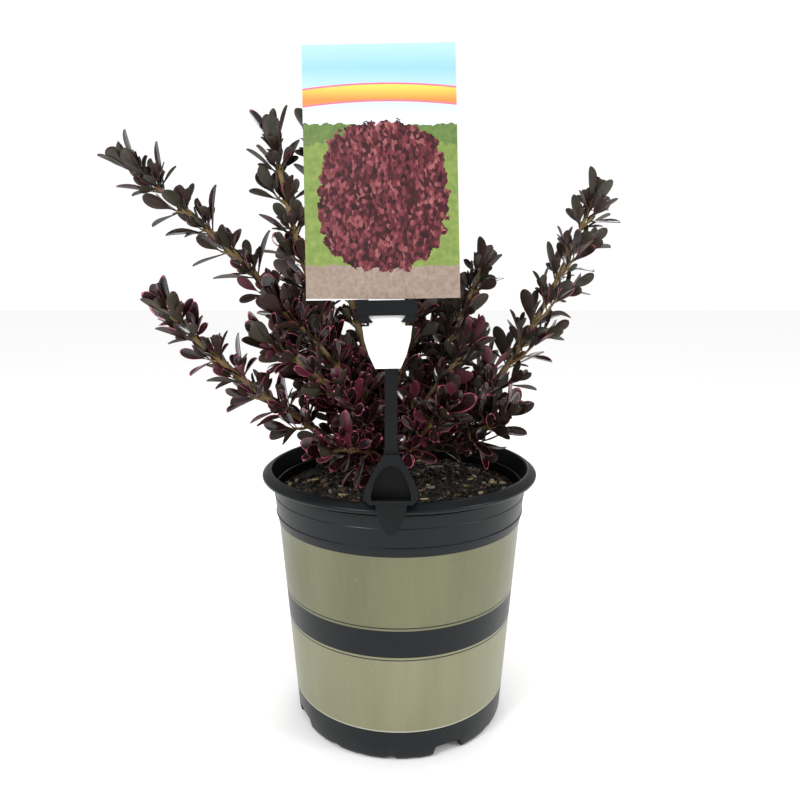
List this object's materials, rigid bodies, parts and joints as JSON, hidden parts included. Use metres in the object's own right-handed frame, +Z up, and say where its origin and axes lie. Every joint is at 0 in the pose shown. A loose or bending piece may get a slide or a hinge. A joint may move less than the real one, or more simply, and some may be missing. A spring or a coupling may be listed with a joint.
{
  "type": "potted mirror bush",
  "caption": "Small purple-leaved mirror bush with open arching leafy shoots, in a round black and gold nursery pot of bark mix, with a clipped plant label.",
  "frame": {"origin": "centre of the flat pad under the pot", "axes": "+Z up along the pot's axis, -Y towards the front, where the label clip hooks over the rim"},
  "size_m": [0.3619, 0.2278, 0.4626],
  "materials": {
    "pot_plastic": "black moulded plastic with satin gold printed bands",
    "potting_mix": "loose damp composted bark",
    "bark": "thin brown bark with knobbly nodes",
    "leafage": "glossy burgundy leaves with thin pink edges",
    "clip_plastic": "black moulded plastic",
    "card_print": "printed plastic card, white on its back and tail"
  },
  "bodies": {
    "root": {"pot": "pot_plastic", "soil": "potting_mix", "trunk": "bark", "bough_upper_left": "bark", "bough_lower_left": "bark", "bough_inner_left": "bark", "bough_middle_left": "bark", "bough_front_left": "bark", "bough_near_left": "bark", "bough_upright_left": "bark", "bough_upright": "bark", "bough_centre": "bark", "bough_right": "bark", "bough_inner_right": "bark", "bough_middle_right": "bark", "bough_near_right": "bark", "bough_low_right": "bark", "bough_front_right": "bark", "bough_back_left": "bark", "bough_back_right": "bark", "bough_back_low_left": "bark", "bough_back_low_right": "bark", "bough_back_middle": "bark", "bough_high_back_left": "bark", "bough_high_back_right": "bark", "foliage_upper_left": "leafage", "foliage_lower_left": "leafage", "foliage_inner_left": "leafage", "foliage_middle_left": "leafage", "foliage_front_left": "leafage", "foliage_near_left": "leafage", "foliage_upright_left": "leafage", "foliage_upright": "leafage", "foliage_centre": "leafage", "foliage_right": "leafage", "foliage_inner_right": "leafage", "foliage_middle_right": "leafage", "foliage_near_right": "leafage", "foliage_low_right": "leafage", "foliage_front_right": "leafage", "foliage_back_left": "leafage", "foliage_back_right": "leafage", "foliage_back_low_left": "leafage", "foliage_back_low_right": "leafage", "foliage_back_middle": "leafage", "foliage_high_back_left": "leafage", "foliage_high_back_right": "leafage", "label_clip": "clip_plastic", "label_card": "card_print"}
  },
  "joints": []
}
